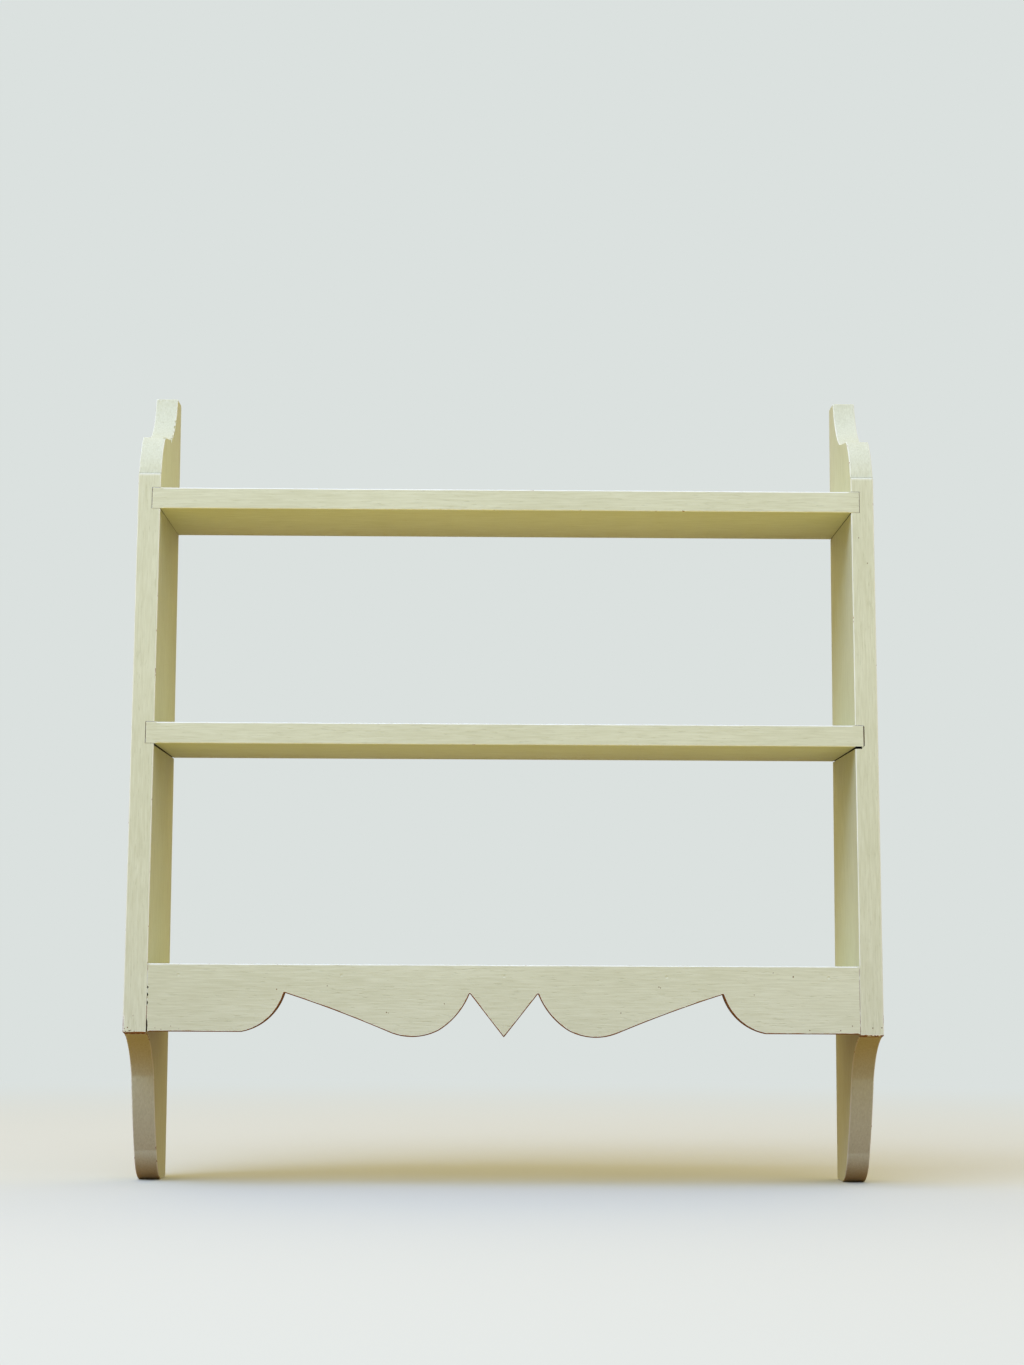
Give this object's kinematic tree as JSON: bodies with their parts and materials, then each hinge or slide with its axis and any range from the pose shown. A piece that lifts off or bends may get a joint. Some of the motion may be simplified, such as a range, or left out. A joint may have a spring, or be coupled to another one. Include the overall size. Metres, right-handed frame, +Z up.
{
  "type": "wall shelf",
  "caption": "Painted wooden hanging shelf with open bays between shaped bracket sides and a fretted apron under the lowest shelf.",
  "frame": {"origin": "on the wall plane, at the centre of the top shelf's back edge", "axes": "+Z up, +Y towards the wall, +X to the right as seen from the front"},
  "size_m": [0.61, 0.1441, 0.6694],
  "materials": {
    "painted_wood": "brushed eggshell paint, pale yellow green, worn to brown on some edges",
    "nail_steel": "dull wire",
    "hanger_steel": "aged zinc plate"
  },
  "bodies": {
    "root": {"left_side": "painted_wood", "right_side": "painted_wood", "top_shelf": "painted_wood", "middle_shelf": "painted_wood", "bottom_shelf": "painted_wood", "apron": "painted_wood", "top_left_front_nail": "nail_steel", "top_left_back_nail": "nail_steel", "top_right_front_nail": "nail_steel", "top_right_back_nail": "nail_steel", "middle_left_front_nail": "nail_steel", "middle_left_back_nail": "nail_steel", "middle_right_front_nail": "nail_steel", "middle_right_back_nail": "nail_steel", "bottom_left_front_nail": "nail_steel", "bottom_left_back_nail": "nail_steel", "bottom_right_front_nail": "nail_steel", "bottom_right_back_nail": "nail_steel", "apron_pin_1": "nail_steel", "apron_pin_2": "nail_steel", "apron_pin_3": "nail_steel", "apron_pin_4": "nail_steel", "apron_pin_5": "nail_steel", "left_hanger_plate": "hanger_steel", "right_hanger_plate": "hanger_steel", "left_hanger_screw_1": "hanger_steel", "left_hanger_screw_2": "hanger_steel", "right_hanger_screw_1": "hanger_steel", "right_hanger_screw_2": "hanger_steel"}
  },
  "joints": []
}
